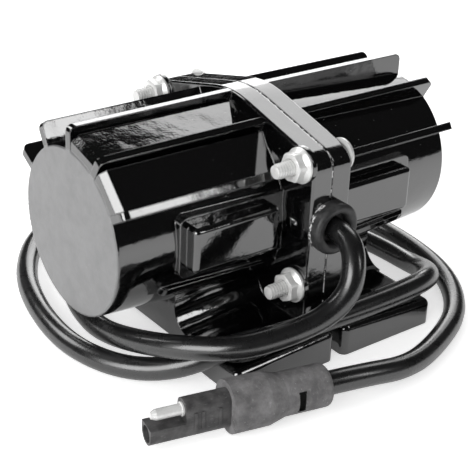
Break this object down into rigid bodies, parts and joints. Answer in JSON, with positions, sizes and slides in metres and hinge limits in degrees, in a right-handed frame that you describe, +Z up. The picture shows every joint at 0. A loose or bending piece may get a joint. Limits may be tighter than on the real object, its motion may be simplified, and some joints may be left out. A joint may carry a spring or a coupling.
{
  "type": "vibration motor",
  "caption": "Rotary vibrator: a low-voltage motor with eccentric weights in a finned split case, with bolt-down feet and a looped cable ending in a bullet-pin connector.",
  "frame": {"origin": "on the surface that the feet stand on, below the flange split, midway across the feet", "axes": "+X along the rotor shaft away from the nut side of the flange, +Y away from the cable grommet, +Z up from the feet"},
  "size_m": [0.199, 0.2139, 0.0995],
  "materials": {
    "black_casting": "gloss black coat on an aluminium casting, end faces satin",
    "gasket_sheet": "thin dark sheet gasket",
    "zinc_steel": "bright zinc plate",
    "grommet_rubber": "smooth dark rubber",
    "ferrite": "matt ceramic magnet",
    "laminate_card": "brown laminate",
    "contact_brass": "plain brass",
    "carbon": "carbon brush",
    "bearing_steel": "ground bearing steel",
    "lead_insulation": "wire insulation",
    "cord_sheath": "black sheath, satin",
    "boot_rubber": "matt charcoal rubber",
    "connector_plastic": "black moulded plastic",
    "contact_plate": "bright plated contact pin",
    "weight_iron": "bare cast iron",
    "lamination_steel": "stacked laminations",
    "copper_winding": "enamelled copper",
    "copper_segments": "turned copper",
    "shell_steel": "zinc passivated tube",
    "shaft_steel": "ground steel"
  },
  "bodies": {
    "casing": {"left_housing": "black_casting", "right_housing": "black_casting", "flange_gasket": "gasket_sheet", "flange_bolt_1": "zinc_steel", "flange_bolt_2": "zinc_steel", "flange_bolt_3": "zinc_steel", "flange_bolt_4": "zinc_steel", "flange_nut_1": "zinc_steel", "flange_nut_2": "zinc_steel", "flange_nut_3": "zinc_steel", "flange_nut_4": "zinc_steel", "cable_grommet": "grommet_rubber", "field_shell": "shell_steel", "front_magnet": "ferrite", "rear_magnet": "ferrite", "brush_card": "laminate_card", "brush_holder_upper": "contact_brass", "brush_holder_lower": "contact_brass", "brush_upper": "carbon", "brush_lower": "carbon", "brush_spring_upper": "bearing_steel", "brush_spring_lower": "bearing_steel", "left_bearing_outer_ring": "bearing_steel", "right_bearing_outer_ring": "bearing_steel", "left_shim_washer": "bearing_steel", "right_wave_washer": "bearing_steel", "lead_positive": "lead_insulation", "lead_negative": "lead_insulation", "power_cord": "cord_sheath", "connector_boot": "boot_rubber", "connector_body": "connector_plastic", "connector_pin": "contact_plate", "connector_socket": "contact_brass"},
    "rotor": {"rotor_shaft": "shaft_steel", "left_weight": "weight_iron", "left_weight_screw": "zinc_steel", "right_weight": "weight_iron", "right_weight_screw": "zinc_steel", "armature_core": "lamination_steel", "armature_windings": "copper_winding", "commutator": "copper_segments", "left_bearing_inner_ring": "bearing_steel", "left_bearing_ball_cage": "bearing_steel", "right_bearing_inner_ring": "bearing_steel", "right_bearing_ball_cage": "bearing_steel"}
  },
  "joints": [
    {"name": "rotor_spin", "type": "hinge", "parent": "casing", "child": "rotor", "pos_m": [0, 0, 0.054], "axis": [1, 0, 0], "continuous": true}
  ]
}
